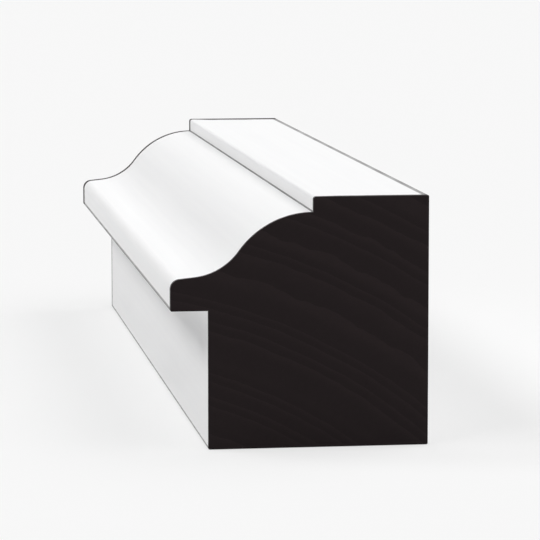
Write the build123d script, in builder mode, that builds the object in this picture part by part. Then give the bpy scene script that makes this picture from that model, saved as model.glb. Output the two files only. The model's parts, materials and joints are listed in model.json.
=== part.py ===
"""Back band moulding: a short length of L-shaped trim that caps the outer edge of a flat casing board.

Frame, in millimetres: +Y runs along the length, +Z points up from the back that goes to the wall,
and +X points to the outer edge. The origin is in the middle of the bounding box, on the back's plane.
"""

import os
from math import atan2, cos, degrees, radians, sin, tan

from build123d import *

# Overall size of the piece
length = 152.4  # a six inch piece, sawn square at both ends
width = 36.0  # from the front of the lip to the outer edge
height = 34.9  # from the back to the top of the head, 1 3/8 inch

# Rabbet that takes the edge of the casing
rabbet_height = 19.3  # a 3/4 inch board with a little room
lip_overhang = 5.2  # how far the lip laps over the face of the board

# Moulded face, from the lip up to the head
lip_thickness = 4.3  # at the front of the lip, before its corner is rounded
nose_radius = 1.4  # rounded front corner of the lip
lip_slope = 6.0  # degrees that the top of the lip falls towards its front
lip_run = 3.4  # from the front of the lip to where the cove begins
cove_radius = 8.6  # hollow lower half of the ogee
step_height = 2.15  # upright fillet between the ogee and the top of the head
head_width = 16.2  # flat top of the head

# Eased edges
head_edge_radius = 0.4  # edge of the head above the step
arris_radius = 0.2  # all the other machined edges

# Where the faces stand in the section
lip_front = -width / 2
outer_edge = width / 2
rabbet_wall = lip_front + lip_overhang
head_side = outer_edge - head_width
lip_top = rabbet_height + lip_thickness
step_foot = height - step_height
cove_start = lip_front + lip_run
cove_foot = lip_top + lip_run * tan(radians(lip_slope))

# The ogee is a cove that takes over from the slope of the lip and an ovolo that ends level at the step.
# Drawn on past the lip, the cove would reach its level bottom. From there to the step the two arcs turn
# through the same angle, so the run and the rise set that angle and the sum of the radii.
ogee_run = head_side - cove_start + cove_radius * sin(radians(lip_slope))
ogee_rise = step_foot - cove_foot + cove_radius * (1 - cos(radians(lip_slope)))
steepest = degrees(2 * atan2(ogee_rise, ogee_run))
ovolo_radius = ogee_run / sin(radians(steepest)) - cove_radius

# The section is drawn once, upright, and runs half the length to each side of the origin.
with BuildPart() as back_band:
    with BuildSketch(Plane.XZ):
        with BuildLine():
            lip_direction = (cos(radians(lip_slope)), sin(radians(lip_slope)))
            cove = JernArc((cove_start, cove_foot), lip_direction, cove_radius, steepest - lip_slope)
            ovolo = JernArc(cove @ 1, cove % 1, ovolo_radius, -steepest)
            FilletPolyline(
                ovolo @ 1,
                (head_side, height),
                (outer_edge, height),
                (outer_edge, 0),
                (rabbet_wall, 0),
                (rabbet_wall, rabbet_height),
                (lip_front, rabbet_height),
                (lip_front, lip_top),
                cove @ 0,
                radius=(
                    head_edge_radius,
                    arris_radius,
                    arris_radius,
                    arris_radius,
                    0,  # the rabbet's inner corner is cut sharp
                    arris_radius,
                    nose_radius,
                ),
            )
        make_face()
    extrude(amount=length / 2, both=True)

back_band.part.label = "back_band"

os.makedirs("parts", exist_ok=True)
export_step(back_band.part, "parts/back_band.step")

print(f"ogee: {steepest:.1f} degrees at its steepest, cove {cove_radius:.2f} mm, ovolo {ovolo_radius:.2f} mm")
print(f"section {back_band.part.volume / length:.1f} mm2, volume {back_band.part.volume / 1000:.1f} cm3")
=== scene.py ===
# %% [markdown]
# # A primed back band moulding
# Back band is the trim that caps the outer edge of a flat door or window casing. It is one stick of
# wood, run through a moulder so that every cut through it has the same section: a square head, a small
# step, an ogee that falls to a round-nosed lip, and a rabbet under the lip for the edge of the casing.
# The long faces are primed white and the sawn ends are sealed with near-black paint.
# This lesson models the stick in Blender around its CAD frame, gives it those two finishes and sets up
# a plain studio to look at it in.

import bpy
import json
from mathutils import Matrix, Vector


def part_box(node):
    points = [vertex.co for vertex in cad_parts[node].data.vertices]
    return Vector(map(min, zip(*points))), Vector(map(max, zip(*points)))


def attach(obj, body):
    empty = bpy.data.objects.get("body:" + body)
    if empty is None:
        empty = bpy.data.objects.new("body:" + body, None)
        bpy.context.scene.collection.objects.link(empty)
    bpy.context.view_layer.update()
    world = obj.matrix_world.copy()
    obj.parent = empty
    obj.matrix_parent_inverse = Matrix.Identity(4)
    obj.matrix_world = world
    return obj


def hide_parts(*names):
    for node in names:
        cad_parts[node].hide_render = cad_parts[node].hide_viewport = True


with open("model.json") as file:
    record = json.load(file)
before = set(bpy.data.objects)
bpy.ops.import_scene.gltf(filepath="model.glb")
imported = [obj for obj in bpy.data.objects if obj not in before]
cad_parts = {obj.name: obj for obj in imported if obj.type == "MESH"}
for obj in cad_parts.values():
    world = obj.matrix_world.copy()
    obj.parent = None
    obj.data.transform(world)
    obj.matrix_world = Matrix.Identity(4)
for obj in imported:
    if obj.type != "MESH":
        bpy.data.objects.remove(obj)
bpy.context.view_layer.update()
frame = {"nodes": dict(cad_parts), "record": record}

print(f"the frame holds {', '.join(frame['nodes'])}")

# %% [markdown]
# ## Sizes
# The frame already knows the outer box, and the record's mounts say where the rabbet is: one mount lies
# on its upright wall and one on the underside of the lip. Only the sizes of the moulded face have to be
# written here. They could be measured off the frame's triangles, but a named size says what it is for.

# %% Read the section's sizes
import math

MM = 0.001  # the frame is in metres

mounts = {mount["name"]: mount["pos_m"] for mount in frame["record"]["mounts"]}
low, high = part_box("back_band")

lip_front, outer_edge = low.x, high.x
height = high.z
near_end, far_end = low.y, high.y
length = far_end - near_end
rabbet_wall = mounts["casing_edge_face"][0]
rabbet_top = mounts["lip_underside"][2]

lip_thickness = 4.3 * MM
nose_radius = 1.4 * MM
lip_slope = math.radians(6)
lip_run = 3.4 * MM
cove_radius = 8.6 * MM
step_height = 2.15 * MM
head_width = 16.2 * MM

lip_top = rabbet_top + lip_thickness
cove_start = lip_front + lip_run
cove_foot = lip_top + lip_run * math.tan(lip_slope)
head_side = outer_edge - head_width
step_foot = height - step_height

stick_width = outer_edge - lip_front
print(f"length {length / MM:.1f} mm, width {stick_width / MM:.1f} mm, height {height / MM:.1f} mm")

# %% [markdown]
# The ogee is two arcs that run into each other: the hollow cove below and the round ovolo above. The cove
# takes over from the slope of the lip, and the ovolo ends level at the step. Drawn on past the lip, the
# cove would reach its level bottom, and from there both arcs turn through the same angle. The run and the
# rise between those two places then fix that angle and the ovolo's radius, and neither is set by eye.

# %% Work out the ogee
ogee_run = head_side - cove_start + cove_radius * math.sin(lip_slope)
ogee_rise = step_foot - cove_foot + cove_radius * (1 - math.cos(lip_slope))
steepest = 2 * math.atan2(ogee_rise, ogee_run)
ovolo_radius = ogee_run / math.sin(steepest) - cove_radius

print(f"ogee up to {math.degrees(steepest):.1f} degrees steep")
print(f"cove {cove_radius / MM:.2f} mm, ovolo {ovolo_radius / MM:.2f} mm")

# %% [markdown]
# The nose is a corner of the section that is rounded off. Its arc touches the upright front and the
# sloping top of the lip, so it takes the same length off both.

# %% Work out the nose
nose_turn = math.pi / 2 - lip_slope
nose_inset = nose_radius * math.tan(nose_turn / 2)
nose_to_cove = lip_run - nose_inset * math.cos(lip_slope)

print(f"the nose turns {math.degrees(nose_turn):.0f} degrees")
print(f"it takes {nose_inset / MM:.2f} mm off each side of the corner")

# %% [markdown]
# ## The flat back
# A moulder's knives shape the whole section at once, and a mesh can do the same: one edge as long as the
# stick is drawn round the section and leaves a face behind it at every step. A cube cut down to size would
# also work, but it would need a curve of its own for the ogee. The strip starts as the flat back that
# goes to the wall, a plane at its real size and place.

# %% Lay the back down as a plane
import bmesh
import bpy

bpy.ops.object.select_all(action="DESELECT")
back_middle = ((rabbet_wall + outer_edge) / 2, 0, 0)
bpy.ops.mesh.primitive_plane_add(size=1, calc_uvs=False, location=back_middle)
stick = bpy.context.active_object
stick.name = "primed_back_band"
stick.scale = (outer_edge - rabbet_wall, length, 1)
bpy.ops.object.transform_apply(location=True, rotation=False, scale=True)

print(f"back: {(outer_edge - rabbet_wall) / MM:.1f} by {length / MM:.1f} mm")

# %% [markdown]
# ## Once round the section
# Two moves are enough. A straight face is an extrude of the selected edge, and an arc is a spin of it
# about a line along the length. After each move the new edge stays selected, so the next one goes on from
# there. Only the first edge, the one at the outer side of the back, has to be picked.

# %% Pick the first edge
near_enough = 0.01 * MM  # two places in the section that are nearer than this are the same place


def pick_edges(wanted):
    """Selects the edges that pass a test, and nothing else, and returns how many there are."""
    bpy.ops.mesh.select_all(action="DESELECT")
    mesh = bmesh.from_edit_mesh(stick.data)
    for edge in mesh.edges:
        edge.select_set(wanted(edge))
    bmesh.update_edit_mesh(stick.data)
    return sum(edge.select for edge in mesh.edges)


def at(x, z):
    """A test for the edge that runs along the stick at this place in the section."""
    def test(edge):
        return all(abs(v.co.x - x) < near_enough and abs(v.co.z - z) < near_enough for v in edge.verts)
    return test


bpy.ops.object.mode_set(mode="EDIT")
bpy.ops.mesh.select_mode(type="EDGE")
found = pick_edges(at(outer_edge, 0))
print(f"{found} edge to start from")

# %% [markdown]
# The path goes up the outer side, over the head, down the step and the ogee, round the nose and back
# through the rabbet. A spin cuts its arc into flats. They turn by about 3 degrees each on the ogee, where
# the light would show coarser ones, and by 7 on the small nose.

# %% Draw the edge round the section
ovolo_steps, cove_steps, nose_steps = 20, 16, 12


def straight(across=0.0, up=0.0):
    """Draws the selected edge out into a flat face."""
    bpy.ops.mesh.extrude_region_move(TRANSFORM_OT_translate={"value": (across, 0, up)})


def round_off(centre_x, centre_z, turn, steps):
    """Spins the selected edge into an arc. Seen from the near end, a positive turn goes anticlockwise."""
    bpy.ops.mesh.spin(steps=steps, angle=turn, center=(centre_x, 0, centre_z), axis=(0, 1, 0))


straight(up=height)
straight(across=-head_width)
straight(up=-step_height)
round_off(head_side, step_foot - ovolo_radius, steepest, ovolo_steps)
cove_centre_x = cove_start - cove_radius * math.sin(lip_slope)
cove_centre_z = cove_foot + cove_radius * math.cos(lip_slope)
round_off(cove_centre_x, cove_centre_z, lip_slope - steepest, cove_steps)
straight(across=-nose_to_cove, up=-nose_to_cove * math.tan(lip_slope))
round_off(lip_front + nose_radius, lip_top - nose_inset, nose_turn, nose_steps)
straight(up=nose_inset - lip_thickness)
straight(across=rabbet_wall - lip_front)
straight(up=-rabbet_top)

print(f"{len(bmesh.from_edit_mesh(stick.data).faces)} faces round the section")

# %% [markdown]
# ## Closing the stick
# The strip has come back to where it began, but its first and last edges only lie on each other. Merging
# by distance welds them into one, and filling the two holes puts on the sawn ends. A strip drawn out this
# way can be inside out, so the normals are then made to point outwards. The spins leave rounding errors of
# a few nanometres, so the front of the lip is put back on its plane.

# %% Weld the strip and put on the ends
weld_distance = 0.001 * MM

bpy.ops.mesh.select_all(action="SELECT")
bpy.ops.mesh.remove_doubles(threshold=weld_distance)
bpy.ops.mesh.fill_holes(sides=0)
bpy.ops.mesh.select_all(action="SELECT")
bpy.ops.mesh.normals_make_consistent(inside=False)

section = bmesh.from_edit_mesh(stick.data)
for vertex in section.verts:
    vertex.co.x = max(vertex.co.x, lip_front)
bmesh.update_edit_mesh(stick.data)

open_edges = sum(not edge.is_manifold for edge in section.edges)
print(f"{len(section.faces)} faces, {open_edges} open edges")

# %% [markdown]
# ## Easing the edges
# No machined edge is perfectly sharp, and the thin bright or dark line along an arris is what tells the
# eye that one face ends there. The head's edge above the step is eased the most, and the other long arrises
# just enough to break them. A bevel does this to the picked edges. The inner corner of the rabbet is left
# as the knife cuts it.

# %% Bevel the long arrises
head_edge_radius = 0.4 * MM
arris_radius = 0.2 * MM

arrises = {
    (head_side, height): head_edge_radius,
    (outer_edge, height): arris_radius,
    (outer_edge, 0.0): arris_radius,
    (rabbet_wall, 0.0): arris_radius,
    (lip_front, rabbet_top): arris_radius,
}
for (x, z), radius in arrises.items():
    found = pick_edges(at(x, z))
    bpy.ops.mesh.bevel(offset=radius, segments=4, affect="EDGES", clamp_overlap=False)
    print(f"{found} edge eased by {radius / MM:.2f} mm")

# %% [markdown]
# The sawn ends come last and are eased least. Their edges can be told by what lies on the two sides of
# them: one face that looks along the stick and one that doesn't.

# %% Bevel the ends
end_edge_radius = 0.12 * MM
mostly = 0.5  # a face whose normal goes further than this along an axis looks that way


def is_end(face):
    """True for a face that looks along the stick, as a sawn end does."""
    return abs(face.normal.y) > mostly


def round_an_end(edge):
    """A test for the edges of the two sawn ends, which lie between an end and another face."""
    return sum(is_end(face) for face in edge.link_faces) == 1


found = pick_edges(round_an_end)
bpy.ops.mesh.bevel(offset=end_edge_radius, segments=2, affect="EDGES", clamp_overlap=False)
print(f"{found} end edges eased by {end_edge_radius / MM:.2f} mm")

# %% [markdown]
# ## Seams
# The finishes below need no map of the surface, but a copy of the stick for other programs carries them as
# pictures that are wrapped round it, and such a picture has to be cut somewhere. Blender can choose where,
# but it cuts down the middle of the ogee, and that shows as a fine line. Here the seams go along the
# arrises of the back and of the rabbet and round the two ends. The whole moulded face, from the outer side
# to the front of the lip, then unrolls in one piece, as a strip of veneer would.

# %% Mark the seams and unroll the stick
island_margin = 0.004  # between the unrolled sides, as a share of the picture


def unrolled_side(face):
    """The side of the stick that a face is on when the stick is unrolled."""
    middle = face.calc_center_median()
    if is_end(face):
        return "near end" if middle.y < 0 else "far end"
    if face.normal.z < -mostly:
        return "back" if middle.z < rabbet_top / 2 else "under the lip"
    if face.normal.x < -mostly and middle.z < rabbet_top:
        return "rabbet wall"
    return "moulded face"


def between_sides(edge):
    """A test for the edges where two sides meet."""
    return len({unrolled_side(face) for face in edge.link_faces}) == 2


found = pick_edges(between_sides)
bpy.ops.mesh.mark_seam()
stick.data.uv_layers.new(name="OFBake")  # the name under which a copy looks for the piece's own map
bpy.ops.mesh.select_all(action="SELECT")
bpy.ops.uv.unwrap(method="CONFORMAL", margin=island_margin)
print(f"{found} edges are seams")

# %% [markdown]
# ## Smooth arcs beside flat faces
# The arcs should look round and the faces flat. Smooth shading alone would tilt the light across the flat
# faces, because every corner of a face takes the mean of its neighbours' directions. The Weighted Normal
# modifier lets the large faces decide. Edges over 35 degrees stay sharp: the rabbet's corner, the foot of
# the step and a fine line round each end.

# %% Shade the stick
sharp_from = math.radians(35)

bpy.ops.object.mode_set(mode="OBJECT")
bpy.ops.object.shade_smooth_by_angle(angle=sharp_from)
bpy.ops.object.modifier_add(type="WEIGHTED_NORMAL")
weighting = stick.modifiers[-1]
weighting.mode = "FACE_AREA"
weighting.weight = 100  # the most that a large face can count
weighting.keep_sharp = True
bpy.ops.object.modifier_apply(modifier=weighting.name)

print(f"{sum(edge.use_edge_sharp for edge in stick.data.edges)} of {len(stick.data.edges)} edges stay sharp")

# %% [markdown]
# The new mesh has to lie on the CAD solid that it stands for, so its distance from that solid's surface
# is measured at every point. The greatest one is at the eased ends, which the solid has sharp.

# %% Measure the stick against the frame
from mathutils.bvhtree import BVHTree

solid = frame["nodes"]["back_band"].data
surface = BVHTree.FromPolygons([v.co for v in solid.vertices], [p.vertices for p in solid.polygons])
gaps = [surface.find_nearest(v.co)[3] for v in stick.data.vertices]
print(f"{len(stick.data.polygons)} faces, at most {max(gaps) / MM:.3f} mm off the solid")

# %% [markdown]
# ## Finishes
# Both finishes are built from nodes that read Object coordinates, which are the frame's own metres here.
# A pattern's scale can then be worked out from a real size in millimetres, and it lies still on the wood
# from every side. Colours are picked as sRGB hex values, as on a screen, but shaders add up light, so one
# function turns them to linear. Another adds a node, sets it and links it, which keeps a material readable
# from top to bottom.

# %% Helpers for materials
def linear(hex_colour):
    """The linear colour, with alpha, of an sRGB hex value such as #f2f1ee."""
    levels = [int(hex_colour[k:k + 2], 16) / 255 for k in (1, 3, 5)]
    return [c / 12.92 if c <= 0.04045 else ((c + 0.055) / 1.055) ** 2.4 for c in levels] + [1.0]


def add_node(tree, kind, inputs, output=None, **settings):
    """Adds a node and returns its first output, or the one that is named.

    Settings are the node's own menus. Inputs give a socket, by name or number, a value or the output of
    another node.
    """
    node = tree.nodes.new("ShaderNode" + kind)
    for name, value in settings.items():
        setattr(node, name, value)
    sockets = [socket for socket in node.inputs if socket.enabled]
    for name, value in inputs.items():
        socket = sockets[name] if isinstance(name, int) else next(s for s in sockets if s.name == name)
        if isinstance(value, bpy.types.NodeSocket):
            tree.links.new(value, socket)
        else:
            socket.default_value = value
    return node.outputs[output] if output else next(s for s in node.outputs if s.enabled)


print(f"a screen's middle grey, #808080, sends {linear('#808080')[0]:.2f} of white's light")

# %% [markdown]
# ### White primer
# Trim is sold primed: a thin white coat sprayed on planed softwood and left to dry dull. The film is not
# quite even. It sinks a little over the soft wood between the fibres, which draws faint streaks along the
# stick, it dries with a fine stipple and in duller and shinier clouds, and it keeps the shallow ripple of
# the planer knives. An image of painted wood could give this too, but it would repeat along the stick.

# %% Patterns in the primer
primer = bpy.data.materials.new("white_primer_on_planed_pine")
primer.use_nodes = True
tree = primer.node_tree
place = add_node(tree, "TexCoord", {}, output="Object")

fibre_width, fibre_length = 0.8 * MM, 70 * MM
stipple_size = 0.7 * MM
cloud_size = 16 * MM
knife_pitch = 1.8 * MM
WAVE_TURN = math.pi / 10  # a Wave texture of this scale repeats once a metre

stretched = add_node(tree, "Mapping", {
    "Vector": place, "Scale": (1 / fibre_width, 1 / fibre_length, 1 / fibre_width)})
fibres = add_node(tree, "TexNoise", {"Vector": stretched, "Scale": 1.0, "Detail": 3.0})
stipple = add_node(tree, "TexNoise", {"Vector": place, "Scale": 1 / stipple_size, "Detail": 2.0})
clouds = add_node(tree, "TexNoise", {"Vector": place, "Scale": 1 / cloud_size, "Detail": 2.0})
knife_marks = add_node(tree, "TexWave", {"Vector": place, "Scale": WAVE_TURN / knife_pitch},
                       wave_type="BANDS", bands_direction="Y")
print(f"streaks {fibre_width / MM:.1f} mm wide, {length / knife_pitch:.0f} knife marks along the stick")

# %% [markdown]
# Sharp arrises lose their primer first. Sticks rub on each other in a bundle, so the film wears thin along
# the square edges and goes grey, while the eased edge of the head and the round nose keep theirs. On the
# head the grey lies on the top, just inside the outer edge. A finer line of the same grey lies in the corner
# at the foot of the step. It is partly dust that settles there and partly painted shade, darker than the
# corner's own shadow. All these lines run along the stick, so the distance to each one in the section is
# all that the material has to know.

# %% Rubbed arrises, and painted shade at the step's foot
head_line_inset = 0.42 * MM
rubbed_and_shade_lines = {  # the middle of each line in the section, and how far the line reaches from it
    (outer_edge - head_line_inset, height): 0.47 * MM,
    (outer_edge, 0.0): 0.36 * MM,
    (rabbet_wall, 0.0): 0.42 * MM,
    (lip_front, rabbet_top): 0.55 * MM,
    # The line at the foot of the step is dust and also painted shade for the corner beside the riser.
    (head_side, step_foot): 0.17 * MM,
}
line_softness = 0.3  # of a line's reach
patch_length = 9 * MM
noise_low, noise_high = 0.35, 0.65  # most of a noise lies in this range
least_rubbed = 0.8

in_section = add_node(tree, "VectorMath", {0: place, 1: (1, 0, 1)}, operation="MULTIPLY")
rubbed_and_shade = None
for (x, z), reach in rubbed_and_shade_lines.items():
    away = add_node(tree, "VectorMath", {0: in_section, 1: (x, 0, z)}, operation="DISTANCE")
    line = add_node(tree, "MapRange", {
        "Value": away, "From Min": (1 + line_softness) * reach, "From Max": (1 - line_softness) * reach},
        interpolation_type="SMOOTHSTEP")
    rubbed_and_shade = line if rubbed_and_shade is None else add_node(tree, "Math", {0: rubbed_and_shade, 1: line}, operation="MAXIMUM")
patches = add_node(tree, "TexNoise", {"Vector": place, "Scale": 1 / patch_length, "Detail": 3.0})
patches = add_node(tree, "MapRange", {
    "Value": patches, "From Min": noise_low, "From Max": noise_high, "To Min": least_rubbed})
rubbed_and_shade = add_node(tree, "Math", {0: rubbed_and_shade, 1: patches}, operation="MULTIPLY")
# One of these lines, at the step's foot, is partly painted shade.
print(f"{len(rubbed_and_shade_lines)} lines along the stick are rubbed or dusty")

# %% [markdown]
# The brush that seals the two ends runs over their edges, so the dark paint laps onto the faces with an
# uneven border. It is widest on the outer side, the back, the top of the head and the nose, where the
# brush presses. It is narrower on the ogee and the step, which the brush skims, and narrowest in the
# rabbet, where it hardly reaches. The near end was wiped afterwards, which leaves less than a third of it.

# %% Width of the dark lap
rabbet_lap, skimmed_lap, pressed_lap = 1.2 * MM, 2.1 * MM, 3.3 * MM
ogee_middle = ((cove_start + head_side) / 2, 0.0, (cove_foot + step_foot) / 2)
skimmed_reach, pressed_reach = 11 * MM, 14 * MM  # from the middle of the ogee
rabbet_depth, rabbet_margin = 3.0 * MM, 0.1 * MM
wiped_share = 0.3
wander_length, wander_share = 5 * MM, 0.4

across = add_node(tree, "SeparateXYZ", {"Vector": place}, output="X")
along = add_node(tree, "SeparateXYZ", {"Vector": place}, output="Y")
upward = add_node(tree, "SeparateXYZ", {"Vector": place}, output="Z")
from_ogee = add_node(tree, "VectorMath", {0: in_section, 1: ogee_middle}, operation="DISTANCE")
lap_width = add_node(tree, "MapRange", {
    "Value": from_ogee, "From Min": skimmed_reach, "From Max": pressed_reach,
    "To Min": skimmed_lap, "To Max": pressed_lap}, interpolation_type="SMOOTHSTEP")
beside_wall = add_node(tree, "MapRange", {
    "Value": across, "From Min": rabbet_wall + rabbet_depth, "From Max": rabbet_wall + rabbet_margin})
under_lip = add_node(tree, "Math", {0: upward, 1: rabbet_top + rabbet_margin}, operation="LESS_THAN")
in_rabbet = add_node(tree, "Math", {0: beside_wall, 1: under_lip}, operation="MULTIPLY")
lap_width = add_node(tree, "Mix", {"Factor": in_rabbet, "A": lap_width, "B": rabbet_lap})

wander = add_node(tree, "TexNoise", {"Vector": in_section, "Scale": 1 / wander_length, "Detail": 3.0})
wander = add_node(tree, "MapRange", {
    "Value": wander, "To Min": 1 - wander_share / 2, "To Max": 1 + wander_share / 2})
at_far_end = add_node(tree, "Math", {0: along, 1: 0.0}, operation="GREATER_THAN")
left_on = add_node(tree, "MapRange", {"Value": at_far_end, "To Min": wiped_share})
for share in (wander, left_on):
    lap_width = add_node(tree, "Math", {0: lap_width, 1: share}, operation="MULTIPLY")
print(f"the lap is about {rabbet_lap / MM:.1f} to {pressed_lap / MM:.1f} mm wide at the far end")

# %% [markdown]
# The lap could be a strip of faces of its own, but a border that wanders is easier as a mask. The stick
# lies evenly about the origin, so a place's distance to the nearer end is half the length less its
# distance from the middle. Where that is less than the lap's width, the paint is dark.

# %% Dark paint lapped over the ends
lap_softness = 0.08 * MM

from_middle = add_node(tree, "Math", {0: along}, operation="ABSOLUTE")
from_end = add_node(tree, "Math", {0: length / 2, 1: from_middle}, operation="SUBTRACT")
inside_lap = add_node(tree, "Math", {0: lap_width, 1: from_end}, operation="SUBTRACT")
lap = add_node(tree, "MapRange", {
    "Value": inside_lap, "From Min": -lap_softness, "From Max": lap_softness},
    interpolation_type="SMOOTHSTEP")
print(f"its border fades over {2 * lap_softness / MM:.2f} mm")

# %% [markdown]
# Now the patterns are put to use. The fibres tint the paint, the grey lines along the arrises, one of them
# painted shade at the step's foot as well as dust, and the lap are mixed over it, and the clouds set how
# dull it is. The relief goes to a Bump node, which bends the light as real ripples would. Moving the mesh
# itself would take millions of faces, for ripples under a hundredth of a millimetre high. Only the edge of
# the lap is higher, as thick as the film of sealing paint.

# %% Colour, dullness and relief of the primer
primer_dark, primer_light = linear("#eeeeef"), linear("#f4f4f4")
# The grey of worn arrises also serves as painted shade in the corner at the step's foot.
rubbed_and_shade_grey, seal_dark = linear("#7b7a7a"), linear("#231d1e")
shinier_primer, duller_primer, dull_seal = 0.54, 0.64, 0.8
fibre_depth, stipple_depth, knife_depth = 0.008 * MM, 0.008 * MM, 0.004 * MM
seal_thickness = 0.05 * MM

paint = add_node(tree, "Mix", {"Factor": fibres, "A": primer_dark, "B": primer_light}, data_type="RGBA")
# Grey along the worn arrises, and painted shade in the corner at the step's foot.
paint = add_node(tree, "Mix", {"Factor": rubbed_and_shade, "A": paint, "B": rubbed_and_shade_grey}, data_type="RGBA")
paint = add_node(tree, "Mix", {"Factor": lap, "A": paint, "B": seal_dark}, data_type="RGBA")
dullness = add_node(tree, "MapRange", {"Value": clouds, "To Min": shinier_primer, "To Max": duller_primer})
dullness = add_node(tree, "Mix", {"Factor": lap, "A": dullness, "B": dull_seal})

# Heights are real ones in metres, so the bump's own distance is 1.
relief = add_node(tree, "Math", {0: fibres, 1: fibre_depth}, operation="MULTIPLY")
for pattern, depth in ((stipple, stipple_depth), (knife_marks, knife_depth), (lap, seal_thickness)):
    relief = add_node(tree, "Math", {0: pattern, 1: depth, 2: relief}, operation="MULTIPLY_ADD")
tilt = add_node(tree, "Bump", {"Height": relief, "Distance": 1.0, "Strength": 1.0})

shader = tree.nodes["Principled BSDF"]
shader.inputs["Specular IOR Level"].default_value = 0.4
for socket, value in (("Base Color", paint), ("Roughness", dullness), ("Normal", tilt)):
    tree.links.new(value, shader.inputs[socket])
print(f"{primer.name}: {len(tree.nodes)} nodes")

# %% [markdown]
# ### End seal
# The ends drink water faster than the faces, so they are brushed with a dark sealing paint after the
# stick is sawn to length. It dries nearly black and dull. The growth rings of the wood still show through
# it as slightly shinier and duller bands. A ring is wide in a good year and narrow in a bad one. A Wave
# texture alone would space them like a grating, so here the number of rings out from the pith is worked
# out first and a noise along that line makes it run fast and slow. What is left after the whole rings is
# how far a point lies through its ring.

# %% Growth rings
end_seal = bpy.data.materials.new("black_end_seal_on_sawn_pine")
end_seal.use_nodes = True
tree = end_seal.node_tree
place = add_node(tree, "TexCoord", {}, output="Object")

ring_spacing = 2.4 * MM
pith = (-34 * MM, 0.0, -58 * MM)
swings_per_ring, uneven_years = 0.45, 2.2
ring_wave_length, wavy_rings = 6 * MM, 0.5
late_wood_sharpness = 3.0

in_section = add_node(tree, "VectorMath", {0: place, 1: (1, 0, 1)}, operation="MULTIPLY")
from_pith = add_node(tree, "VectorMath", {0: in_section, 1: pith}, operation="DISTANCE")
years = add_node(tree, "Math", {0: from_pith, 1: ring_spacing}, operation="DIVIDE")
good_and_bad = add_node(tree, "TexNoise", {"W": years, "Scale": swings_per_ring, "Detail": 1.0},
                        noise_dimensions="1D")
waves = add_node(tree, "TexNoise", {"Vector": in_section, "Scale": 1 / ring_wave_length, "Detail": 2.0})
for pattern, reach in ((good_and_bad, uneven_years), (waves, wavy_rings)):
    years = add_node(tree, "Math", {0: pattern, 1: reach, 2: years}, operation="MULTIPLY_ADD")
through_ring = add_node(tree, "Math", {0: years}, operation="FRACT")
late_wood = add_node(tree, "Math", {0: through_ring, 1: late_wood_sharpness}, operation="POWER")
print(f"rings about {ring_spacing / MM:.1f} mm apart")

# %% [markdown]
# The teeth of the saw leave faint arcs as wide as the blade. A steady feed spaces them evenly, so here a
# Wave texture about the middle of the blade is right as it is. The pores of the wood are drawn coarser
# than they are, or they would not show. The hard late wood of each ring soaks up less paint, so it is a
# little lighter, shinier and higher than the rest.

# %% Paint for the sawn ends
saw_pitch = 0.9 * MM
blade_centre = (95 * MM, 0.0, -70 * MM)
pore_size = 0.35 * MM
seal_light = linear("#282122")
duller_seal, shinier_seal = 0.72, 0.6
late_wood_height, saw_depth, pore_depth = 0.02 * MM, 0.010 * MM, 0.02 * MM

from_blade = add_node(tree, "VectorMath", {0: place, 1: blade_centre}, operation="SUBTRACT")
saw_marks = add_node(tree, "TexWave", {"Vector": from_blade, "Scale": WAVE_TURN / saw_pitch},
                     wave_type="RINGS", rings_direction="Y")
pores = add_node(tree, "TexNoise", {"Vector": place, "Scale": 1 / pore_size, "Detail": 2.0})

soaked = add_node(tree, "Mix", {"Factor": late_wood, "A": seal_dark, "B": seal_light}, data_type="RGBA")
dullness = add_node(tree, "MapRange", {"Value": late_wood, "To Min": duller_seal, "To Max": shinier_seal})
relief = add_node(tree, "Math", {0: late_wood, 1: late_wood_height}, operation="MULTIPLY")
for pattern, depth in ((saw_marks, saw_depth), (pores, pore_depth)):
    relief = add_node(tree, "Math", {0: pattern, 1: depth, 2: relief}, operation="MULTIPLY_ADD")
tilt = add_node(tree, "Bump", {"Height": relief, "Distance": 1.0, "Strength": 1.0})

shader = tree.nodes["Principled BSDF"]
shader.inputs["Specular IOR Level"].default_value = 0.08
for socket, value in (("Base Color", soaked), ("Roughness", dullness), ("Normal", tilt)):
    tree.links.new(value, shader.inputs[socket])
print(f"{end_seal.name}: {len(tree.nodes)} nodes")

# %% [markdown]
# A face takes its paint from the way it looks: along the stick means an end, and everything else is primed.

# %% Paint each face
stick.data.materials.append(primer)
stick.data.materials.append(end_seal)
for face in stick.data.polygons:
    face.material_index = int(is_end(face))
print(f"{sum(face.material_index for face in stick.data.polygons)} faces sealed black")

# %% [markdown]
# ## Into the frame
# The stick stands for the CAD solid, which stays behind for collisions, and moves with the part's only body.

# %% Tie the stick to the frame
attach(stick, "root")
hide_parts("back_band")

print(f"{stick.name} stands for back_band")

# %% [markdown]
# ## A plain studio
# The stick lies on a sheet of white paper. In a studio such a sheet is often swept up behind the object to
# hide the horizon, but the photograph's camera looks down and sees none, so a flat plane is enough.

# %% Floor
floor_side = 12  # metres, more than the photograph's camera sees
floor_gap = 0.05 * MM  # keeps the paper from lying in the back's own plane

bpy.ops.object.select_all(action="DESELECT")
bpy.ops.mesh.primitive_plane_add(size=floor_side, location=(0, 0, -floor_gap))
floor = bpy.context.active_object
floor.name = "floor"
print(f"{floor.name}: {floor_side} m wide")

# %% [markdown]
# The paper has two jobs that pull apart. It should look nearly white, with a faint shadow, but a white
# floor throws so much light up that the rabbet loses its own shadow. So light that bounces off the paper
# finds a pale grey. The camera, straight or in a reflection, sees a darker grey with a glow over it. The
# two add up to just under white, so a white stick still stands out from it, and they leave the stick's
# shadow on the paper pale.

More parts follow.
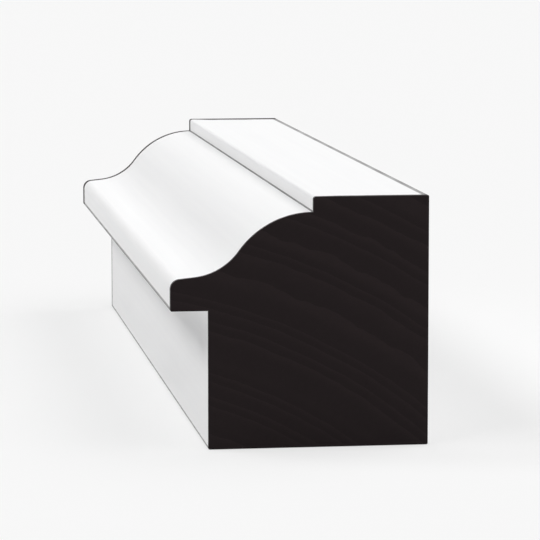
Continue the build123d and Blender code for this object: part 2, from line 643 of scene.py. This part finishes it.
# %% Paper
def seen_directly(tree):
    """1 for rays that the camera sees, straight, in a reflection or through glass, and 0 for other light."""
    seen = add_node(tree, "LightPath", {}, output="Is Camera Ray")
    for ray in ("Is Glossy Ray", "Is Transmission Ray"):
        also_seen = add_node(tree, "LightPath", {}, output=ray)
        seen = add_node(tree, "Math", {0: seen, 1: also_seen}, operation="MAXIMUM")
    return seen


paper_bounced, paper_seen, paper_glow = linear("#f3f3f3"), linear("#a0a0a0"), 0.57
paper = bpy.data.materials.new("white_paper_floor")
paper.use_nodes = True
tree = paper.node_tree
seen = seen_directly(tree)
paper_colour = add_node(tree, "Mix", {"Factor": seen, "A": paper_bounced, "B": paper_seen}, data_type="RGBA")
glow = add_node(tree, "Math", {0: seen, 1: paper_glow}, operation="MULTIPLY")

shader = tree.nodes["Principled BSDF"]
tree.links.new(paper_colour, shader.inputs["Base Color"])
tree.links.new(glow, shader.inputs["Emission Strength"])
shader.inputs["Emission Color"].default_value = (1, 1, 1, 1)
shader.inputs["Roughness"].default_value = 0.9
shader.inputs["Specular IOR Level"].default_value = 0.0
floor.data.materials.append(paper)
print(f"{paper.name}: {len(tree.nodes)} nodes")

# %% [markdown]
# ## Light
# A white stick needs soft light, so that its faces differ by a shade and hardly any of it burns out. The
# sky fills in faintly from all round. A sky that faint would look dark grey behind the stick, so by the
# same switch as the paper's it is white where the camera sees it.

# %% Sky
sky_share = 0.1

scene = bpy.context.scene
scene.view_settings.view_transform = "Standard"
sky = bpy.data.worlds.new("pale_sky")
sky.use_nodes = True
tree = sky.node_tree
sky_strength = add_node(tree, "MapRange", {"Value": seen_directly(tree), "To Min": sky_share})
background = tree.nodes["Background"]
background.inputs["Color"].default_value = (1, 1, 1, 1)
tree.links.new(sky_strength, background.inputs["Strength"])
scene.world = sky
print(f"{sky.name} gives {sky_share:.0%} of a white sky's light")

# %% [markdown]
# Two strip lights hang above the stick and run the same way, one to each side. The left one shines on the
# faces that look to the lip's side and leaves a soft shadow in the rabbet. The right one adds to the tops
# only, so the steep middle of the ogee stays a little darker. It is the wider one, which keeps the shadow
# of the step faint. Area lamps could be strips, but they would leave the far floor dim, so each strip is a
# row of three suns.

# %% Strip lights
leans = [math.radians(lean) for lean in (-22, 0, 22)]  # of the suns in a strip, along the stick
# How far a strip hangs to the right of upright, how wide it looks from the stick, its share of the light.
strips = {
    "left_strip": (math.radians(-35), math.radians(20), 0.59),
    "right_strip": (math.radians(35), math.radians(45), 0.555),
}

for name, (to_the_right, strip_width, share) in strips.items():
    for lean in leans:
        bpy.ops.object.light_add(type="SUN", rotation=(lean, to_the_right, 0))
        sun = bpy.context.active_object
        sun.name = name
        sun.data.angle = strip_width
        # A white face square to the strip then renders at the strip's share.
        sun.data.energy = math.pi * share / len(leans) / math.cos(lean)
print(f"{len(strips)} strips of {len(leans)} suns")

# %% [markdown]
# ## The camera
# The photograph looks at the near end from a little to the left and a little above, through a long lens.
# A camera could be turned by hand until the picture looks right, but the sizes of the two ends are easily
# wrong then. These values were worked out from where the corners of both ends lie in the photograph.

# %% Camera
PHOTO_SIDE = 540  # pixels
eye = (-62.29 * MM, -493.45 * MM, 75.54 * MM)
turned_right, turned_down = math.radians(7.923), math.radians(6.861)
focal_pixels = 3086.8

bpy.ops.object.camera_add(location=eye, rotation=(math.pi / 2 - turned_down, 0, -turned_right))
camera = bpy.context.active_object
camera.data.sensor_width = 36  # millimetres
camera.data.lens = camera.data.sensor_width * focal_pixels / PHOTO_SIDE
camera.data.clip_start, camera.data.clip_end = 0.01, 100
scene.camera = camera
print(f"a {camera.data.lens:.0f} mm lens, {near_end - eye[1]:.2f} m in front of the near end")

# %% Sizes and finish
import json
